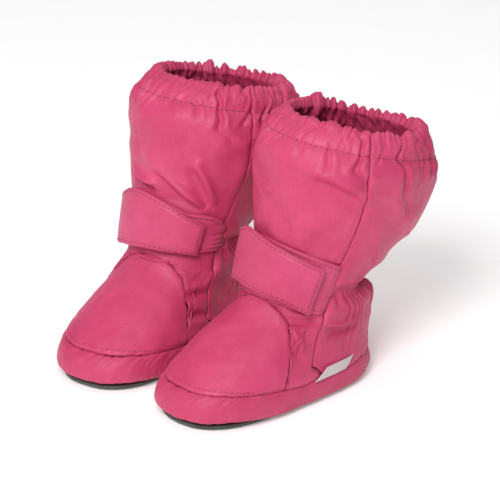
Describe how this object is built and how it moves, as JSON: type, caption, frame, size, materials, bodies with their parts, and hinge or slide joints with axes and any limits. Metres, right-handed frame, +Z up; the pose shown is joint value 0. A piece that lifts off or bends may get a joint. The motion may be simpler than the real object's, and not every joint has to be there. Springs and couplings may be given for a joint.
{
  "type": "baby bootie",
  "caption": "Pair of padded baby snow booties in pink woven cloth with a gathered elastic cuff, a foot band, a rubber outsole and a hook-and-loop ankle strap.",
  "frame": {"origin": "on the ground, under the middle of the pair's box", "axes": "+Z up; the left bootie's toes point toward -Y and its heel toward +Y; +X from the right bootie to the left bootie"},
  "size_m": [0.1856, 0.1876, 0.1497],
  "materials": {
    "taslan_pink": "matte water-repellent woven polyester, pink",
    "taslan_band": "the same cloth over the foot band",
    "lining_cloth": "brushed polyester lining",
    "wadding": "soft polyester wadding",
    "elastic": "woven elastic tape",
    "rubber_sole": "thin moulded rubber, dark grey green",
    "board": "pressed fibre insole board",
    "felt": "felt insole",
    "hook_loop": "hook-and-loop tape, dyed to match",
    "label_tape": "plain pale grey woven tape"
  },
  "bodies": {
    "left_bootie": {"left_outsole": "rubber_sole", "left_insole_board": "board", "left_insole": "felt", "left_sole_band": "taslan_band", "left_vamp": "taslan_pink", "left_front_panel": "taslan_pink", "left_back_panel": "taslan_pink", "left_cuff_elastic": "elastic", "left_ankle_elastic": "elastic", "left_wadding": "wadding", "left_lining": "lining_cloth", "left_strap_base": "taslan_pink", "left_loop_tape": "hook_loop", "left_label": "label_tape"},
    "left_strap_root": {"left_strap_root": "taslan_pink"},
    "left_strap_tip": {"left_strap_tip": "taslan_pink", "left_hook_tape": "hook_loop"},
    "right_bootie": {"right_outsole": "rubber_sole", "right_insole_board": "board", "right_insole": "felt", "right_sole_band": "taslan_band", "right_vamp": "taslan_pink", "right_front_panel": "taslan_pink", "right_back_panel": "taslan_pink", "right_cuff_elastic": "elastic", "right_ankle_elastic": "elastic", "right_wadding": "wadding", "right_lining": "lining_cloth", "right_strap_base": "taslan_pink", "right_loop_tape": "hook_loop", "right_label": "label_tape"},
    "right_strap_root": {"right_strap_root": "taslan_pink"},
    "right_strap_tip": {"right_strap_tip": "taslan_pink", "right_hook_tape": "hook_loop"}
  },
  "joints": [
    {"name": "right_bootie_slide", "type": "slide", "parent": "left_bootie", "child": "right_bootie", "axis": [-1, 0, 0], "range_m": [0, 0.12]},
    {"name": "left_strap_swing", "type": "hinge", "parent": "left_bootie", "child": "left_strap_root", "pos_m": [0.01458, 0.00642, 0.0588], "axis": [0.1308, -0.3399, -0.9313], "range_deg": [0, 50]},
    {"name": "left_strap_peel", "type": "hinge", "parent": "left_strap_root", "child": "left_strap_tip", "pos_m": [0.04325, -0.02302, 0.07437], "axis": [0.0092, -0.2922, -0.9563], "range_deg": [0, 110]},
    {"name": "right_strap_swing", "type": "hinge", "parent": "right_bootie", "child": "right_strap_root", "pos_m": [-0.07012, -0.00876, 0.0588], "axis": [0.1986, -0.3052, -0.9313], "range_deg": [0, 50]},
    {"name": "right_strap_peel", "type": "hinge", "parent": "right_strap_root", "child": "right_strap_tip", "pos_m": [-0.03596, -0.03159, 0.07437], "axis": [0.0698, -0.2839, -0.9563], "range_deg": [0, 110]}
  ]
}
